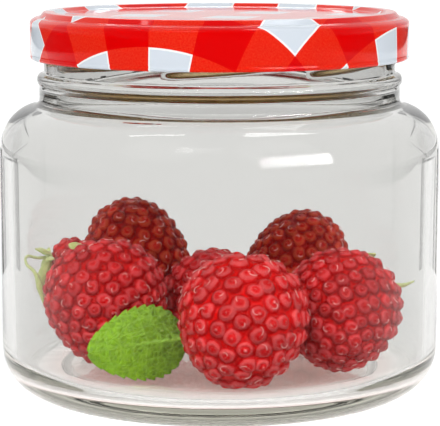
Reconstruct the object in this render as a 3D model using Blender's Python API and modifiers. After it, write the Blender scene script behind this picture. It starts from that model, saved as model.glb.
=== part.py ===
"""Squat glass storage jar with a metal twist-off lid, holding seven raspberries and a mint leaf.

Units are metres and +Z is up. The jar's axis is the Z axis, it stands on z = 0, and the side
on which the leaf shows faces -Y. Every piece is a closed solid of its own.
"""

import math
import random

import bmesh
import bpy
from mathutils import Vector

MM = 0.001
MERGE = 0.01 * MM
TURN_STEPS = 44

# Glass jar, heights above the surface that it stands on
BODY_RADIUS = 49.7 * MM
WALL = 2.8 * MM
FLOOR_TOP = 5.2 * MM
STANDING_RING_INNER = 36.0 * MM
PUNT_HEIGHT = 1.8 * MM
HEEL_WIDTH = 7.8 * MM
HEEL_HEIGHT = 9.3 * MM
FLOOR_CORNER = 4.5 * MM
SHOULDER_START = 53.6 * MM
SHOULDER_WIDTH = 8.6 * MM
SHOULDER_HEIGHT = 10.2 * MM
INNER_SHOULDER_DROP = 0.8 * MM
INNER_SHOULDER_HEIGHT = 10.6 * MM
NECK_RADIUS = 40.65 * MM
NECK_BORE = 37.2 * MM
NECK_BORE_LOW = 66.0 * MM
NECK_FILLET = 1.6 * MM
BEAD_RADIUS = 41.1 * MM
BEAD_BOTTOM = 68.2 * MM
BEAD_TOP = 70.9 * MM
BEAD_SLOPE = 0.9 * MM
FINISH_RADIUS = 39.5 * MM
MOUTH_TOP = 83.8 * MM
MOUTH_INNER_EDGE = 0.6 * MM
MOUTH_OUTER_EDGE = 0.8 * MM

# Thread ridges on the jar's mouth, which the lid turns on
THREAD_COUNT = 8
THREAD_RADIUS = 0.9 * MM
THREAD_LOW = 73.9 * MM
THREAD_FIRST = -16.0
THREAD_SWEEP = 34.0
THREAD_RISE = 0.054 * MM

# Lid of tinned steel sheet
LID_RADIUS = 42.5 * MM
LID_BOTTOM = 74.2 * MM
LID_TOP = 84.7 * MM
LID_PANEL_TOP = 83.8 * MM
LID_PANEL_RADIUS = 36.2 * MM
LID_RING_SLOPE = 1.2 * MM
LID_RING_OUTER = 39.0 * MM
LID_STEP_INNER = 40.5 * MM
LID_STEP_OUTER = 41.3 * MM
LID_STEP_TOP = 83.6 * MM
LID_CORNER = 1.0 * MM
LID_CORNER_HEIGHT = 82.3 * MM
LID_SHEET = 0.5 * MM
LID_CURL = 0.6 * MM

# Berries
DRUPELET_PITCH = 4.0 * MM
DRUPELET_RELIEF = 0.95 * MM
GOLDEN_ANGLE = math.pi * (3 - math.sqrt(5))

# Leaf and calyx sheets
LEAF_LENGTH = 20.8 * MM
LEAF_HALF_WIDTH = 8.4 * MM
LEAF_THICKNESS = 0.5 * MM
LEAF_TEETH = 9
LEAF_ARCH = 5.5 * MM
LEAF_CUP = 1.3 * MM
LEAF_WAVE = 0.35 * MM
LEAF_TURN = (98, 6, 193)
LEAF_PLACE = (-7.8, -23.2, 14.8)
SEPAL_THICKNESS = 0.6 * MM
SEPAL_BELLY = 1.8
CUP_RADIUS = 1.5 * MM
SINGLE_SEPAL_FOOT = 1.4 * MM
STALK_RADIUS = 0.5 * MM

PARTS = "storage_jar"
RIDGES = "thread_ridges"


def clear_scene():
    for obj in list(bpy.data.objects):
        bpy.data.objects.remove(obj, do_unlink=True)


def new_collection(name):
    collection = bpy.data.collections.new(name)
    bpy.context.scene.collection.children.link(collection)
    return collection


def new_material(name, colour, roughness, metallic=0.0, alpha=1.0):
    material = bpy.data.materials.new(name)
    material.use_nodes = True
    shader = material.node_tree.nodes["Principled BSDF"]
    shader.inputs["Base Color"].default_value = (*colour, 1.0)
    shader.inputs["Roughness"].default_value = roughness
    shader.inputs["Metallic"].default_value = metallic
    shader.inputs["Alpha"].default_value = alpha
    return material


def new_object(name, data, collection, material, parent):
    obj = bpy.data.objects.new(name, data)
    data.materials.append(material)
    collection.objects.link(obj)
    obj.parent = parent
    return obj


def freeze(obj):
    """Replaces the object's data with its evaluated mesh, so that no modifier is left."""
    graph = bpy.context.evaluated_depsgraph_get()
    mesh = bpy.data.meshes.new_from_object(obj.evaluated_get(graph))
    obj.modifiers.clear()
    obj.data = mesh


def shade_round(obj, sharp_degrees=40):
    obj.data.shade_smooth()
    obj.data.set_sharp_from_angle(angle=math.radians(sharp_degrees))


def ellipse_arc(centre, width, height, start, end, steps):
    """Points (radius, height) on an ellipse, from start to end degrees."""
    points = []
    for i in range(steps + 1):
        angle = math.radians(start + (end - start) * i / steps)
        points.append((centre[0] + width * math.cos(angle), centre[1] + height * math.sin(angle)))
    return points


def turned(name, profile, collection, material, parent):
    """A solid of revolution: the profile runs from the axis, out and down, back to the axis."""
    mesh = bpy.data.meshes.new(name)
    points = [(radius, 0, height) for radius, height in profile]
    mesh.from_pydata(points, [(i, i + 1) for i in range(len(points) - 1)], [])
    obj = new_object(name, mesh, collection, material, parent)
    screw = obj.modifiers.new("Turn", "SCREW")
    screw.axis = "Z"
    screw.steps = TURN_STEPS
    screw.render_steps = TURN_STEPS
    screw.use_merge_vertices = True
    screw.merge_threshold = MERGE
    return obj


def jar_profile():
    """Up the inside from the floor's centre, over the mouth and down the outside."""
    bore = BODY_RADIUS - WALL
    inner_shoulder = SHOULDER_START - INNER_SHOULDER_DROP
    profile = [(0, FLOOR_TOP)]
    profile += ellipse_arc(
        (bore - FLOOR_CORNER, FLOOR_TOP + FLOOR_CORNER), FLOOR_CORNER, FLOOR_CORNER, -90, 0, 4
    )
    profile += ellipse_arc(
        (NECK_BORE, inner_shoulder), bore - NECK_BORE, INNER_SHOULDER_HEIGHT, 0, 82, 4
    )
    profile += [(NECK_BORE, NECK_BORE_LOW), (NECK_BORE, MOUTH_TOP - MOUTH_INNER_EDGE)]
    profile += [(NECK_BORE + MOUTH_INNER_EDGE, MOUTH_TOP), (FINISH_RADIUS - MOUTH_OUTER_EDGE, MOUTH_TOP)]
    profile += [(FINISH_RADIUS, MOUTH_TOP - MOUTH_OUTER_EDGE), (FINISH_RADIUS, BEAD_TOP)]
    profile += [(BEAD_RADIUS - 0.4 * MM, BEAD_TOP), (BEAD_RADIUS, BEAD_TOP - 0.5 * MM)]
    profile += [(BEAD_RADIUS, BEAD_BOTTOM + BEAD_SLOPE), (NECK_RADIUS, BEAD_BOTTOM)]
    shoulder_top = SHOULDER_START + SHOULDER_HEIGHT
    profile += ellipse_arc(
        (NECK_RADIUS + NECK_FILLET, shoulder_top + NECK_FILLET),
        NECK_FILLET,
        NECK_FILLET,
        180,
        235,
        2,
    )
    profile += ellipse_arc(
        (BODY_RADIUS - SHOULDER_WIDTH, SHOULDER_START), SHOULDER_WIDTH, SHOULDER_HEIGHT, 78, 0, 6
    )
    profile += ellipse_arc(
        (BODY_RADIUS - HEEL_WIDTH, HEEL_HEIGHT), HEEL_WIDTH, HEEL_HEIGHT, 0, -90, 5
    )
    profile += [(STANDING_RING_INNER, 0), (STANDING_RING_INNER - 2 * MM, PUNT_HEIGHT * 0.7)]
    profile += [(0, PUNT_HEIGHT)]
    return profile


def thread_ridge(number, collection, material):
    """One start of the thread: a tapered rod that climbs round the mouth, half sunk in it."""
    curve = bpy.data.curves.new(f"thread_ridge_{number}", "CURVE")
    curve.dimensions = "3D"
    curve.bevel_depth = THREAD_RADIUS
    curve.bevel_resolution = 0
    curve.use_fill_caps = True
    widths = (0.35, 0.85, 1.0, 1.0, 0.85, 0.35)
    spline = curve.splines.new("POLY")
    spline.points.add(len(widths) - 1)
    first = THREAD_FIRST + 360 * number / THREAD_COUNT
    for i, width in enumerate(widths):
        turn = THREAD_SWEEP * i / (len(widths) - 1)
        angle = math.radians(first + turn - 90)
        spline.points[i].co = (
            FINISH_RADIUS * math.cos(angle),
            FINISH_RADIUS * math.sin(angle),
            THREAD_LOW + THREAD_RISE * turn,
            1,
        )
        spline.points[i].radius = width
    return mesh_from_curve(curve, collection, material)


def mesh_from_curve(curve, collection, material):
    """The curve's tube as a closed mesh object, with its caps welded on."""
    guide = bpy.data.objects.new(curve.name, curve)
    collection.objects.link(guide)
    graph = bpy.context.evaluated_depsgraph_get()
    mesh = bpy.data.meshes.new_from_object(guide.evaluated_get(graph))
    name = curve.name
    bpy.data.objects.remove(guide, do_unlink=True)
    bpy.data.curves.remove(curve)
    bm = bmesh.new()
    bm.from_mesh(mesh)
    bmesh.ops.remove_doubles(bm, verts=bm.verts, dist=MERGE)
    bmesh.ops.recalc_face_normals(bm, faces=bm.faces)
    bm.to_mesh(mesh)
    bm.free()
    mesh.name = name
    return new_object(name, mesh, collection, material, None)


def make_jar(collection, material, parent):
    jar = turned("glass_jar", jar_profile(), collection, material, parent)
    freeze(jar)
    ridges = new_collection(RIDGES)
    for number in range(THREAD_COUNT):
        thread_ridge(number, ridges, material)
    join = jar.modifiers.new("Join the thread", "BOOLEAN")
    join.operation = "UNION"
    join.operand_type = "COLLECTION"
    join.collection = ridges
    join.solver = "EXACT"
    freeze(jar)
    for obj in list(ridges.objects):
        bpy.data.objects.remove(obj, do_unlink=True)
    bpy.data.collections.remove(ridges)
    shade_round(jar)
    return jar


def lid_profile():
    """Out over the recessed panel, the raised ring and the step, down the skirt to the curl."""
    ring_inner = LID_PANEL_RADIUS + LID_RING_SLOPE
    inner_radius = LID_RADIUS - LID_SHEET
    profile = [(0, LID_PANEL_TOP), (LID_PANEL_RADIUS, LID_PANEL_TOP)]
    profile += [(ring_inner, LID_TOP - 0.15 * MM), (ring_inner + 0.6 * MM, LID_TOP)]
    profile += [(LID_RING_OUTER, LID_TOP), (LID_RING_OUTER + 0.6 * MM, LID_TOP - 0.25 * MM)]
    profile += [(LID_STEP_INNER, LID_STEP_TOP), (LID_STEP_OUTER, LID_STEP_TOP - 0.25 * MM)]
    corner_centre = (LID_RADIUS - LID_CORNER, LID_CORNER_HEIGHT)
    profile += ellipse_arc(corner_centre, LID_CORNER, 0.95 * LID_CORNER, 75, 0, 3)
    profile += [(LID_RADIUS, LID_BOTTOM + LID_CURL)]
    curl_centre = (LID_RADIUS - LID_CURL, LID_BOTTOM + LID_CURL)
    profile += ellipse_arc(curl_centre, LID_CURL, LID_CURL, -30, -180, 5)
    profile += [(LID_RADIUS - 2 * LID_CURL, LID_BOTTOM + 2 * LID_CURL)]
    profile += [(inner_radius, LID_BOTTOM + 2.6 * LID_CURL), (inner_radius, LID_CORNER_HEIGHT - 0.1 * MM)]
    profile += [(LID_STEP_OUTER - 0.1 * MM, LID_STEP_TOP - 0.75 * MM)]
    profile += [(LID_STEP_INNER - 0.3 * MM, LID_STEP_TOP - LID_SHEET)]
    profile += [(LID_RING_OUTER + 0.3 * MM, LID_TOP - LID_SHEET)]
    profile += [(ring_inner + 0.3 * MM, LID_TOP - LID_SHEET)]
    profile += [(LID_PANEL_RADIUS + 0.3 * MM, LID_PANEL_TOP - LID_SHEET)]
    profile += [(0, LID_PANEL_TOP - LID_SHEET)]
    return profile


def make_lid(collection, material, parent):
    lid = turned("lid", lid_profile(), collection, material, parent)
    freeze(lid)
    shade_round(lid, 25)
    return lid


def berry_surface(direction, radius, length, taper):
    """The point of a berry's skin in a unit direction from its centre, with its tip at +Z."""
    lift = direction.z
    girth = math.sqrt(max(0.0, 1 - lift * lift))
    width = radius * girth**0.88 * (1 - taper * lift) / (1 + 0.5 * taper * taper)
    height = length / 2 * lift
    if lift < 0:
        height += 0.12 * length * math.exp(-((width / (0.42 * radius)) ** 2))
    flat = Vector((direction.x, direction.y, 0))
    if flat.length > 1e-6:
        flat.normalize()
    return flat * width + Vector((0, 0, height))


def make_berry(name, centre, tip, radius, length, taper, seed, collection, material, parent):
    """A raspberry: drupelets on a spiral, each a low point-topped bump with its own cell."""
    draw = random.Random(seed)
    area = 4 * math.pi * radius * (radius + length / 2) / 2
    count = round(area / (0.866 * DRUPELET_PITCH**2))
    bm = bmesh.new()
    for i in range(count):
        lift = 1 - 2 * (i + 0.5) / count
        girth = math.sqrt(1 - lift * lift)
        turn = i * GOLDEN_ANGLE + draw.uniform(-0.05, 0.05)
        bm.verts.new((girth * math.cos(turn), girth * math.sin(turn), lift))
    bmesh.ops.convex_hull(bm, input=bm.verts)
    bmesh.ops.recalc_face_normals(bm, faces=bm.faces)
    tops = set(bm.verts)
    shared = list(bm.edges)
    bmesh.ops.poke(bm, faces=bm.faces)
    bmesh.ops.rotate_edges(bm, edges=shared, use_ccw=False)
    for vertex in bm.verts:
        direction = vertex.co.normalized()
        point = berry_surface(direction, radius, length, taper)
        sink = draw.uniform(0, 0.25) if vertex in tops else 1
        reach = point.length
        vertex.co = point * ((reach - DRUPELET_RELIEF * sink) / reach)
    bmesh.ops.triangulate(bm, faces=bm.faces)
    bmesh.ops.recalc_face_normals(bm, faces=bm.faces)
    mesh = bpy.data.meshes.new(name)
    bm.to_mesh(mesh)
    bm.free()
    berry = new_object(name, mesh, collection, material, parent)
    berry.rotation_mode = "QUATERNION"
    berry.rotation_quaternion = Vector(tip).to_track_quat("Z", "Y")
    berry.location = Vector(centre) * MM
    berry.data.shade_smooth()
    return berry


# name, centre in mm, direction of the tip, radius in mm, length in mm, taper, seed
BERRIES = (
    ("berry_front", (4.9, -31.0, 19.8), (-0.1, -0.75, -0.6), 14.3, 30.2, 0.14, 1),
    ("berry_left", (-25.3, -8.8, 19.5), (0.2, -0.6, -0.75), 14.2, 29.5, 0.16, 2),
    ("berry_right", (27.0, -14.0, 18.5), (-0.2, -0.75, -0.62), 13.5, 28.4, 0.14, 3),
    ("berry_back_left", (-20.2, 25.2, 22.8), (-0.28, -0.05, 1.0), 13.5, 33.0, 0.06, 4),
    ("berry_back_right", (18.8, 20.9, 21.0), (0.35, 0.05, 0.9), 13.2, 31.8, 0.08, 5),
    ("berry_back_middle", (-1.6, 5.0, 18.4), (0.3, -0.5, 0.6), 12.0, 24.8, 0.15, 6),
    ("berry_far_left", (-34.1, 10.5, 25.6), (0.85, 0.5, -0.15), 6.1, 13.5, 0.12, 7),
)


def make_berries(collection, material, parent):
    for name, centre, tip, radius, length, taper, seed in BERRIES:
        make_berry(
            name, centre, tip, radius * MM, length * MM, taper, seed, collection, material, parent
        )


def sheet_solid(name, bm, thickness, collection, material, parent):
    """Gives a sheet of triangles its thickness, so that both faces are split alike."""
    bmesh.ops.triangulate(bm, faces=bm.faces)
    bmesh.ops.recalc_face_normals(bm, faces=bm.faces)
    mesh = bpy.data.meshes.new(name)
    bm.to_mesh(mesh)
    bm.free()
    obj = new_object(name, mesh, collection, material, parent)
    solid = obj.modifiers.new("Thickness", "SOLIDIFY")
    solid.thickness = thickness
    solid.offset = 0
    freeze(obj)
    shade_round(obj, 50)
    return obj


def leaf_half_width(along):
    """Half the leaf's width at a share of its length from the stalk, with its saw teeth."""
    egg = math.sin(math.pi * along**0.68) ** 0.62
    tooth = (along * LEAF_TEETH) % 1
    return LEAF_HALF_WIDTH * max(egg, 0.05) * (1 - 0.09 * tooth)


def make_mint_leaf(collection, material, parent):
    """The leaf lies in its own XY plane with its stalk at x = 0, arched and wavy."""
    rows, columns = 18, 6
    bm = bmesh.new()
    bmesh.ops.create_grid(bm, x_segments=rows, y_segments=columns, size=1)
    for vertex in bm.verts:
        along = (vertex.co.x + 1) / 2
        across = vertex.co.y
        y = across * leaf_half_width(along)
        x = LEAF_LENGTH * (along - 0.06 * abs(across) * math.sin(math.pi * along))
        arch = -LEAF_ARCH * (along - 0.5) ** 2
        cup = LEAF_CUP * across * across
        wave = LEAF_WAVE * math.sin(9 * along + 2 * across) * abs(across)
        vertex.co = (x, y, arch + cup + wave)
    leaf = sheet_solid("mint_leaf", bm, LEAF_THICKNESS, collection, material, parent)
    leaf.rotation_euler = [math.radians(angle) for angle in LEAF_TURN]
    leaf.location = Vector(LEAF_PLACE) * MM
    return leaf


def add_sepal(bm, low, high, tip):
    """A pointed blade from the edge between two points to its tip, widest a third of the way."""
    middle = (low.co + high.co) / 2
    belly = middle.lerp(tip, 0.38)
    side = (high.co - low.co) / 2 * SEPAL_BELLY
    far_low = bm.verts.new(belly - side)
    far_high = bm.verts.new(belly + side)
    bm.faces.new((low, high, far_high, far_low))
    bm.faces.new((far_low, far_high, bm.verts.new(tip)))


def make_calyx(name, centre, facing, spin, tips, collection, material, parent):
    """Five sepals round a small cup that faces away from its berry, each drawn to its own tip."""
    bm = bmesh.new()
    outward = Vector(facing).normalized()
    upward = (Vector((0, 0, 1)) - outward * outward.z).normalized()
    sideways = outward.cross(upward)
    middle = Vector(centre) * MM
    disc = []
    for i in range(len(tips)):
        angle = 2 * math.pi * i / len(tips) + math.radians(spin)
        spoke = sideways * math.cos(angle) + upward * math.sin(angle)
        disc.append(bm.verts.new(middle + spoke * CUP_RADIUS))
    bm.faces.new(disc)
    for i, tip in enumerate(tips):
        add_sepal(bm, disc[i], disc[(i + 1) % len(tips)], Vector(tip) * MM)
    return sheet_solid(name, bm, SEPAL_THICKNESS, collection, material, parent)


def make_single_sepal(name, foot, tip, across, collection, material, parent):
    """One sepal that shows alone, with the rest of its calyx out of sight behind the berry."""
    bm = bmesh.new()
    start = Vector(foot) * MM
    side = Vector(across).normalized() * SINGLE_SEPAL_FOOT / 2
    add_sepal(bm, bm.verts.new(start - side), bm.verts.new(start + side), Vector(tip) * MM)
    return sheet_solid(name, bm, SEPAL_THICKNESS, collection, material, parent)


def make_stalk(name, points, collection, material, parent):
    """A thin stalk through a few points, in mm."""
    curve = bpy.data.curves.new(name, "CURVE")
    curve.dimensions = "3D"
    curve.bevel_depth = STALK_RADIUS
    curve.bevel_resolution = 1
    curve.use_fill_caps = True
    spline = curve.splines.new("POLY")
    spline.points.add(len(points) - 1)
    for point, place in zip(spline.points, points):
        point.co = (*(Vector(place) * MM), 1)
    stalk = mesh_from_curve(curve, collection, material)
    stalk.parent = parent
    return stalk


# name, centre in mm, the way it faces, spin in degrees, the tips of its sepals in mm
CALYXES = (
    (
        "calyx_far_left",
        (-39.4, 6.4, 27.1),
        (-0.85, -0.5, 0.15),
        -5,
        (
            (-40.9, 11.0, 28.3),
            (-43.2, 3.6, 29.7),
            (-38.9, 2.0, 27.3),
            (-42.2, 2.8, 21.4),
            (-42.3, 7.6, 25.2),
        ),
    ),
    (
        "calyx_right",
        (30.0, -2.6, 27.9),
        (0.2, 0.755, 0.624),
        -26,
        (
            (35.6, -3.2, 29.8),
            (29.9, -4.5, 30.2),
            (27.0, -2.7, 29.0),
            (28.3, -0.4, 26.3),
            (32.0, -1.0, 25.9),
        ),
    ),
)

# name, foot and tip in mm, the way across it
SINGLE_SEPALS = (("sepal_left", (-30.6, 1.2, 30.2), (-34.6, -0.2, 31.6), (0.1, 0.5, 0.85)),)

# Places in mm. The far left stalk bends sharply at the wall, the right one lies out to its side
STALKS = (
    (
        "stalk_far_left",
        (
            (-41.0, 5.6, 27.4),
            (-42.6, 4.2, 27.6),
            (-45.4, 2.2, 28.0),
            (-45.3, 1.6, 26.9),
            (-42.8, 0.2, 24.9),
            (-41.4, -0.6, 21.5),
            (-40.4, -1.4, 17.5),
        ),
    ),
    ("stalk_right", ((33.2, 0.7, 25.8), (37.5, -1.5, 23.4), (41.0, -3.6, 22.6), (44.6, -4.6, 23.8))),
)


def main():
    clear_scene()
    parts = new_collection(PARTS)
    glass = new_material("soda_lime_glass", (0.86, 0.89, 0.87), 0.03, alpha=0.35)
    tinplate = new_material("printed_tinplate", (0.76, 0.02, 0.01), 0.28, 0.0)
    flesh = new_material("raspberry_flesh", (0.55, 0.01, 0.02), 0.32)
    leaf = new_material("mint_leaf_green", (0.26, 0.47, 0.03), 0.5)
    sepal = new_material("sepal_green", (0.42, 0.55, 0.15), 0.6)
    frame = bpy.data.objects.new("storage_jar_axis", None)
    parts.objects.link(frame)
    make_jar(parts, glass, frame)
    make_lid(parts, tinplate, frame)
    make_berries(parts, flesh, frame)
    make_mint_leaf(parts, leaf, frame)
    for name, centre, facing, spin, tips in CALYXES:
        make_calyx(name, centre, facing, spin, tips, parts, sepal, frame)
    for name, foot, tip, across in SINGLE_SEPALS:
        make_single_sepal(name, foot, tip, across, parts, sepal, frame)
    for name, places in STALKS:
        make_stalk(name, places, parts, sepal, frame)


main()
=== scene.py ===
import math
import random

import bpy
import numpy as np
from mathutils import Matrix, Vector, kdtree


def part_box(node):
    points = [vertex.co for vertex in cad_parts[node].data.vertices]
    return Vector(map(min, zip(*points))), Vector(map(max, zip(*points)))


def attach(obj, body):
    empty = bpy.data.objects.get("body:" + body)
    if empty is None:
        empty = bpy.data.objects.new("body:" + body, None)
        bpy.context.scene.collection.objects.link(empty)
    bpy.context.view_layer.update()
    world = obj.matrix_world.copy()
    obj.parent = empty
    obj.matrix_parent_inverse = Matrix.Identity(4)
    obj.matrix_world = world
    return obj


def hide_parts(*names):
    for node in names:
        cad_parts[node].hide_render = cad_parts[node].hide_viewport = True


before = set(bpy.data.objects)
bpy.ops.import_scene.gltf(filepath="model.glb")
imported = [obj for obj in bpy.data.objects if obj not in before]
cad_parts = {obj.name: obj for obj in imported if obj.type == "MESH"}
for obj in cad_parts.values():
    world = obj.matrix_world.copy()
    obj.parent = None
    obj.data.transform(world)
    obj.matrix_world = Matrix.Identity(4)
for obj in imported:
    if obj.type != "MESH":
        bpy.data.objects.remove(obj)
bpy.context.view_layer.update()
mm = 0.001
print("frame loaded:", len(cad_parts), "nodes")


# Small helpers

def toLinear(hexColour):
    # sRGB hex to the linear values that a shader takes
    shares = [int(hexColour[i:i + 2], 16) / 255 for i in (0, 2, 4)]
    linear = [s / 12.92 if s <= 0.04045 else ((s + 0.055) / 1.055) ** 2.4 for s in shares]
    return (*linear, 1.0)


def selectOnly(piece):
    bpy.ops.object.select_all(action="DESELECT")
    piece.select_set(True)
    bpy.context.view_layer.objects.active = piece


def useModifier(piece, kind, settings):
    # adds a modifier with its settings and applies it
    selectOnly(piece)
    modifier = piece.modifiers.new(kind.title(), kind)
    for name, value in settings.items():
        setattr(modifier, name, value)
    bpy.ops.object.modifier_apply(modifier=modifier.name)


def meshPoints(piece):
    points = np.zeros(len(piece.data.vertices) * 3)
    piece.data.vertices.foreach_get("co", points)
    return points.reshape(-1, 3)


def setMeshPoints(piece, points):
    piece.data.vertices.foreach_set("co", np.asarray(points, float).ravel())
    piece.data.update()


def addAttribute(piece, name, values):
    # one number at each vertex, which a material reads by its name
    attribute = piece.data.attributes.new(name, "FLOAT", "POINT")
    attribute.data.foreach_set("value", np.asarray(values, np.float32))


def tidyMesh(piece):
    # welds what touches and turns every face outwards
    selectOnly(piece)
    bpy.ops.object.mode_set(mode="EDIT")
    bpy.ops.mesh.select_all(action="SELECT")
    bpy.ops.mesh.remove_doubles(threshold=0.002 * mm)
    bpy.ops.mesh.normals_make_consistent(inside=False)
    bpy.ops.object.mode_set(mode="OBJECT")


def mountPiece(piece, slotName, *nodes):
    # the piece rides on the one body, and stands for its CAD nodes
    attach(piece, "root")
    if nodes:
        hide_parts(*nodes)


def arcPoints(centre, width, height, start, end, steps):
    # points (radius, height) on an ellipse, from start to end degrees
    angles = [math.radians(start + (end - start) * i / steps) for i in range(steps + 1)]
    return [(centre[0] + width * math.cos(a), centre[1] + height * math.sin(a)) for a in angles]


def roundCorners(corners, steps=6):
    # an outline of (radius, height, fillet) corners, with each fillet drawn as an arc
    outline = []
    for i, (x, z, fillet) in enumerate(corners):
        here = Vector((x, z))
        if fillet == 0 or i in (0, len(corners) - 1):
            outline.append((x, z))
            continue
        before = (Vector(corners[i - 1][:2]) - here).normalized()
        after = (Vector(corners[i + 1][:2]) - here).normalized()
        half = before.angle(after) / 2
        middle = here + (before + after).normalized() * fillet / math.sin(half)
        first = here + before * fillet / math.tan(half) - middle
        last = here + after * fillet / math.tan(half) - middle
        for step in range(steps + 1):
            spoke = first.lerp(last, step / steps).normalized() * fillet
            outline.append((middle.x + spoke.x, middle.y + spoke.y))
    return outline


def spinOutline(name, outline, steps):
    # draws the outline by extruding one vertex from point to point, then spins it round the axis
    bpy.ops.object.select_all(action="DESELECT")
    bpy.ops.mesh.primitive_plane_add(size=mm, location=(0, 0, 0))
    piece = bpy.context.object
    piece.name = name
    bpy.ops.object.mode_set(mode="EDIT")
    bpy.ops.mesh.select_all(action="SELECT")
    bpy.ops.mesh.merge(type="CENTER")
    place = Vector((outline[0][0] * mm, 0, outline[0][1] * mm))
    bpy.ops.transform.translate(value=place)
    for radius, height in outline[1:]:
        step = Vector((radius * mm, 0, height * mm)) - place
        bpy.ops.mesh.extrude_region_move(TRANSFORM_OT_translate={"value": step})
        place += step
    bpy.ops.mesh.select_all(action="SELECT")
    bpy.ops.mesh.spin(steps=steps, angle=2 * math.pi, center=(0, 0, 0), axis=(0, 0, 1))
    bpy.ops.object.mode_set(mode="OBJECT")
    tidyMesh(piece)
    piece.data.shade_smooth()
    return piece


def addNode(material, kind, settings=None, links=None):
    # adds one node; settings are its properties or inputs, links are input to output socket
    node = material.node_tree.nodes.new(kind)
    for name, value in (settings or {}).items():
        if isinstance(name, int) or name in node.inputs:
            node.inputs[name].default_value = value
        else:
            setattr(node, name, value)
    for name, socket in (links or {}).items():
        material.node_tree.links.new(socket, node.inputs[name])
    return node


def newMaterial(name, settings):
    # a material whose principled shader has these values
    material = bpy.data.materials.new(name)
    material.use_nodes = True
    shader = material.node_tree.nodes["Principled BSDF"]
    for socket, value in settings.items():
        shader.inputs[socket].default_value = value
    return material, shader


def plug(material, output, socket):
    material.node_tree.links.new(output, socket)


def addRamp(material, socket, stops):
    # a colour ramp with its stops given as (place, hex colour), from low to high
    ramp = addNode(material, "ShaderNodeValToRGB", links={"Fac": socket})
    elements = ramp.color_ramp.elements
    while len(elements) < len(stops):
        elements.new(1.0)
    for element, (place, hexColour) in zip(elements, stops):
        element.position = place
        element.color = toLinear(hexColour)
    return ramp


# Materials

def sodaLimeGlass(name, roughness):
    # container glass, blown in a mould: clear, faintly grey-green where it is thick, slightly wavy;
    # the ring that it stands on is stippled by the mould
    material, shader = newMaterial(name, {
        "Base Color": toLinear("e7e7e6"),
        "Roughness": roughness,
        "IOR": 1.52,
        "Transmission Weight": 1.0,
        "Specular Tint": toLinear("4c4c4c"),
    })
    place = addNode(material, "ShaderNodeTexCoord")
    wave = addNode(material, "ShaderNodeTexNoise", {"Scale": 1 / (26 * mm), "Detail": 0.0},
                   {"Vector": place.outputs["Object"]})
    bump = addNode(material, "ShaderNodeBump", {"Strength": 0.12, "Distance": 0.4 * mm},
                   {"Height": wave.outputs["Fac"]})
    plug(material, bump.outputs["Normal"], shader.inputs["Normal"])
    tint = addNode(material, "ShaderNodeVolumeAbsorption", {"Color": toLinear("b9b7a2"), "Density": 15.0})
    plug(material, tint.outputs["Volume"], material.node_tree.nodes["Material Output"].inputs["Volume"])
    return material


gingham = {
    "period": 21.45,      # mm, one red and one pale stripe
    "redShare": 0.507,    # of the period
    "turn": 21.1,         # degrees, the stripes to the sheet's own axes
    "phase": (0.466, 0.184),
    "outline": 0.42,      # mm, white line inside a pale square
    "speckle": 0.4,      # mm, grain of the single printed red, coarser than the print's to show
}


def printedTinplate():
    # tin-plated steel sheet, printed with a check in two reds over white and clear lacquered
    material, shader = newMaterial("printedTinplate", {
        "Roughness": 0.08,
        "IOR": 1.38,
        "Specular Tint": toLinear("5a5a5a"),
    })
    sheet = addNode(material, "ShaderNodeUVMap", {"uv_map": "sheet"})
    stripes = addNode(material, "ShaderNodeMapping", {
        "Scale": [100 / gingham["period"]] * 3,
        "Rotation": (0, 0, math.radians(gingham["turn"])),
        "Location": (*gingham["phase"], 0),
    }, {"Vector": sheet.outputs["UV"]})
    axes = addNode(material, "ShaderNodeSeparateXYZ", links={"Vector": stripes.outputs["Vector"]})
    reds, edges = [], []
    for axis in ("X", "Y"):
        along = addNode(material, "ShaderNodeMath", {"operation": "FRACT"}, {0: axes.outputs[axis]})
        reds.append(addNode(material, "ShaderNodeMath", {"operation": "LESS_THAN", 1: gingham["redShare"]},
                            {0: along.outputs[0]}))
        fromRed = addNode(material, "ShaderNodeMath", {"operation": "SUBTRACT", 1: gingham["redShare"]},
                          {0: along.outputs[0]})
        toRed = addNode(material, "ShaderNodeMath", {"operation": "SUBTRACT", 0: 1.0}, {1: along.outputs[0]})
        edges.append(addNode(material, "ShaderNodeMath", {"operation": "MINIMUM"},
                             {0: fromRed.outputs[0], 1: toRed.outputs[0]}))
    both = addNode(material, "ShaderNodeMath", {"operation": "MULTIPLY"},
                   {0: reds[0].outputs[0], 1: reds[1].outputs[0]})
    either = addNode(material, "ShaderNodeMath", {"operation": "MAXIMUM"},
                     {0: reds[0].outputs[0], 1: reds[1].outputs[0]})
    edge = addNode(material, "ShaderNodeMath", {"operation": "MINIMUM"},
                   {0: edges[0].outputs[0], 1: edges[1].outputs[0]})
    outline = addNode(material, "ShaderNodeMath",
                      {"operation": "LESS_THAN", 1: gingham["outline"] / gingham["period"]},
                      {0: edge.outputs[0]})
    grain = addNode(material, "ShaderNodeTexNoise", {"Scale": 100 / gingham["speckle"], "Detail": 3.0},
                    {"Vector": sheet.outputs["UV"]})
    grainTone = addNode(material, "ShaderNodeMapRange", {1: 0.35, 2: 0.8}, {0: grain.outputs["Fac"]})
    white = addNode(material, "ShaderNodeMix", {"data_type": "RGBA", 6: toLinear("dbe3ec"), 7: toLinear("fbfbfb")},
                    {0: outline.outputs[0]})
    singleRed = addNode(material, "ShaderNodeMix",
                        {"data_type": "RGBA", 6: toLinear("ea1605"), 7: toLinear("ee3c22")},
                        {0: grainTone.outputs[0]})
    light = addNode(material, "ShaderNodeMix", {"data_type": "RGBA"},
                    {0: either.outputs[0], 6: white.outputs[2], 7: singleRed.outputs[2]})
    colour = addNode(material, "ShaderNodeMix", {"data_type": "RGBA", 7: toLinear("e00001")},
                     {0: both.outputs[0], 6: light.outputs[2]})
    plug(material, colour.outputs[2], shader.inputs["Base Color"])
    return material


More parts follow.
